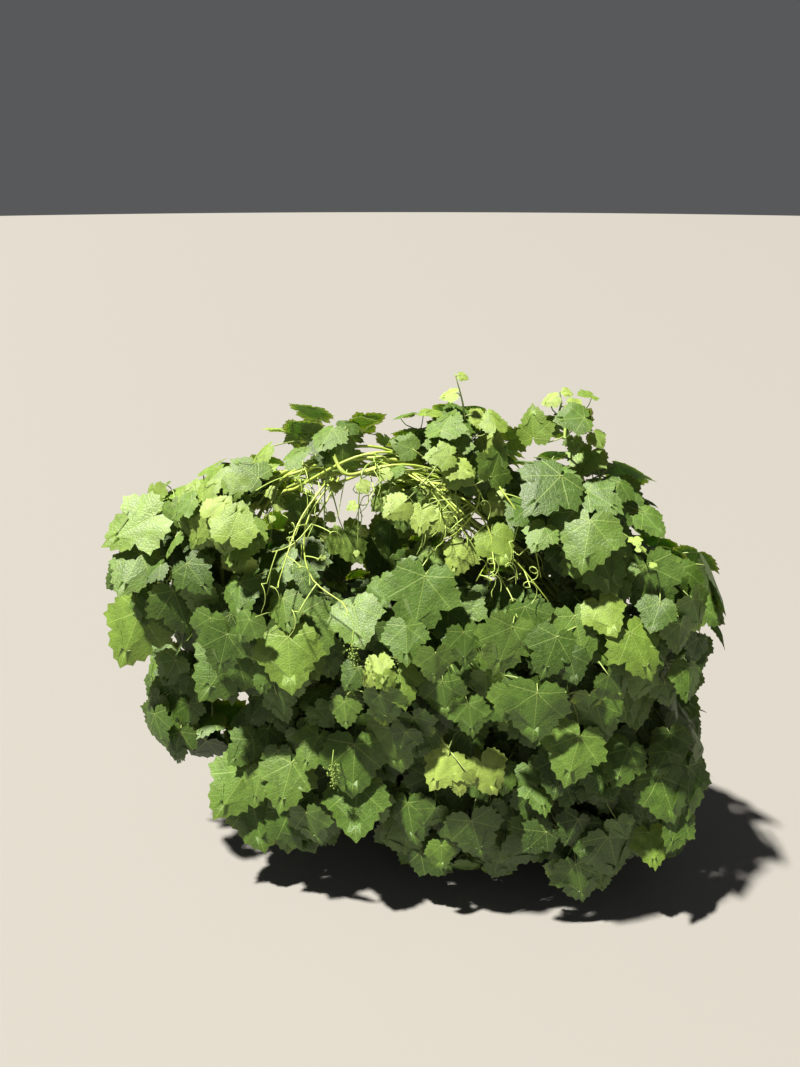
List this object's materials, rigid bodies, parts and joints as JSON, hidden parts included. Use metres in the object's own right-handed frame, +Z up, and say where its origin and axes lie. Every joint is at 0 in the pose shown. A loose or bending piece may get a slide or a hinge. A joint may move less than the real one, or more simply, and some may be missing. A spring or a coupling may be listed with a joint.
{
  "type": "grapevine",
  "caption": "Short-trunked grapevine in summer leaf, its long green shoots plaited over into a low arch above a full skirt of lobed leaves.",
  "frame": {"origin": "middle of the flat cut under the trunk, at ground level", "axes": "+Z up, +X along the row to the right, +Y away from the front"},
  "size_m": [1.392, 0.6603, 1.1784],
  "materials": {
    "bark": "rough, shaggy brown bark that peels in strips",
    "shoot": "smooth yellow-green summer shoot",
    "leaf": "blistered mid-green leaf with a waxy sheen",
    "young_leaf": "thin glossy yellow-green young leaf"
  },
  "bodies": {
    "root": {"arm_left": "bark", "arm_right": "bark", "bough_back_centre": "shoot", "bough_back_lower_left": "shoot", "bough_back_lower_right": "shoot", "bough_back_upper_left": "shoot", "bough_back_upper_right": "shoot", "bough_centre": "shoot", "bough_centre_foot": "shoot", "bough_left_drape": "shoot", "bough_left_shoulder": "shoot", "bough_left_top": "shoot", "bough_lower_left": "shoot", "bough_lower_right": "shoot", "bough_right_edge": "shoot", "bough_right_shoulder": "shoot", "bough_right_top": "shoot", "bough_right_upper": "shoot", "bough_upper_left": "shoot", "bough_upright": "shoot", "leaves_back_centre": "leaf", "leaves_back_lower_left": "leaf", "leaves_back_lower_right": "leaf", "leaves_back_upper_left": "leaf", "leaves_back_upper_right": "leaf", "leaves_centre": "leaf", "leaves_centre_foot": "leaf", "leaves_crown": "young_leaf", "leaves_crown_left": "young_leaf", "leaves_left_drape": "leaf", "leaves_left_shoulder": "leaf", "leaves_left_top": "young_leaf", "leaves_lower_left": "leaf", "leaves_lower_right": "leaf", "leaves_right_edge": "leaf", "leaves_right_shoulder": "leaf", "leaves_right_top": "leaf", "leaves_right_upper": "leaf", "leaves_upper_left": "leaf", "leaves_upright": "young_leaf", "plait_left_1": "shoot", "plait_left_2": "shoot", "plait_left_3": "shoot", "plait_right_1": "shoot", "plait_right_2": "shoot", "riser_left_1": "shoot", "riser_left_2": "shoot", "riser_left_3": "shoot", "riser_right_1": "shoot", "riser_right_2": "shoot", "trunk": "bark"}
  },
  "joints": []
}
